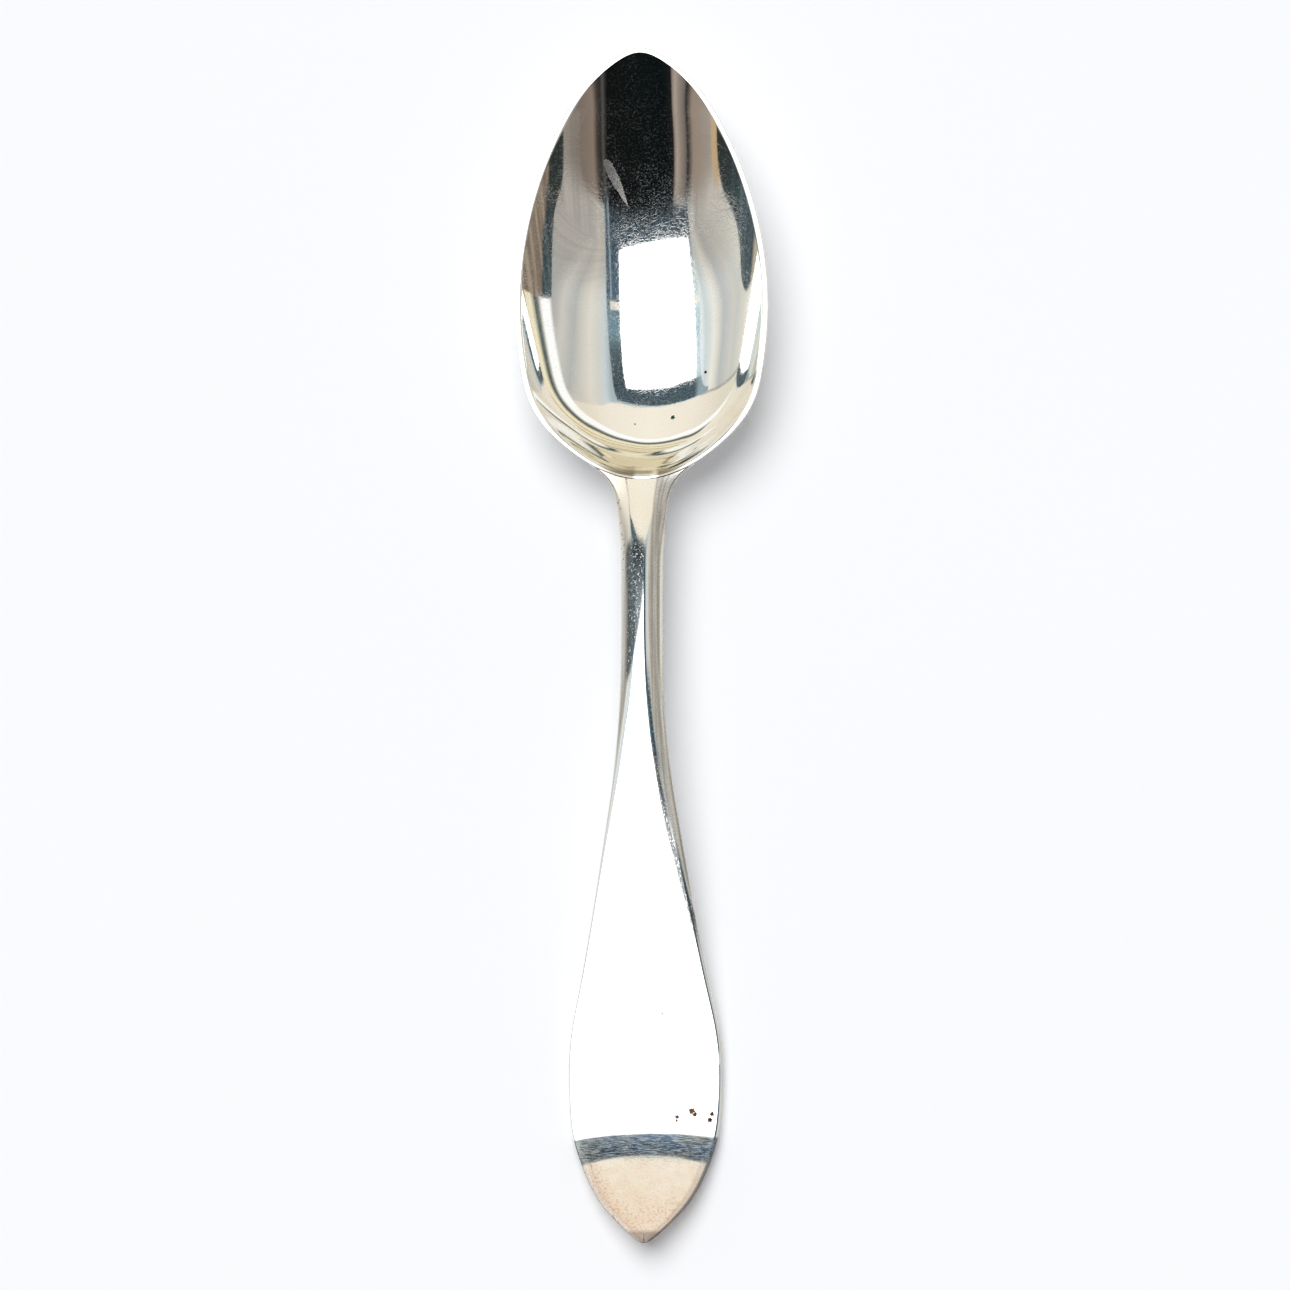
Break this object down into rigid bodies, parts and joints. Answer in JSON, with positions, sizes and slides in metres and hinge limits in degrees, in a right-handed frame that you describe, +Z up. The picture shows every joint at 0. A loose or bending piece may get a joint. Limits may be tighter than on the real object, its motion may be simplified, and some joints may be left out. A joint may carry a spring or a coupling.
{
  "type": "serving spoon",
  "caption": "Large silver serving spoon: a deep pointed oval bowl joined by a lapped drop to an arched neck and a broad, flat, pointed handle that turns up at its end.",
  "frame": {"origin": "middle of the bounding box's bottom, on the table the spoon rests on", "axes": "+Y along the spoon towards the point of the bowl, +Z up out of the bowl, +X across the bowl; the plane x = 0 is the spoon's symmetry plane"},
  "size_m": [0.047, 0.22, 0.016],
  "materials": {
    "bowl_silver": "polished, worn by use",
    "handle_silver": "polished, with hairline scratches",
    "solder": "dull"
  },
  "bodies": {
    "root": {"bowl": "bowl_silver", "handle": "handle_silver", "solder_seam": "solder"}
  },
  "joints": []
}
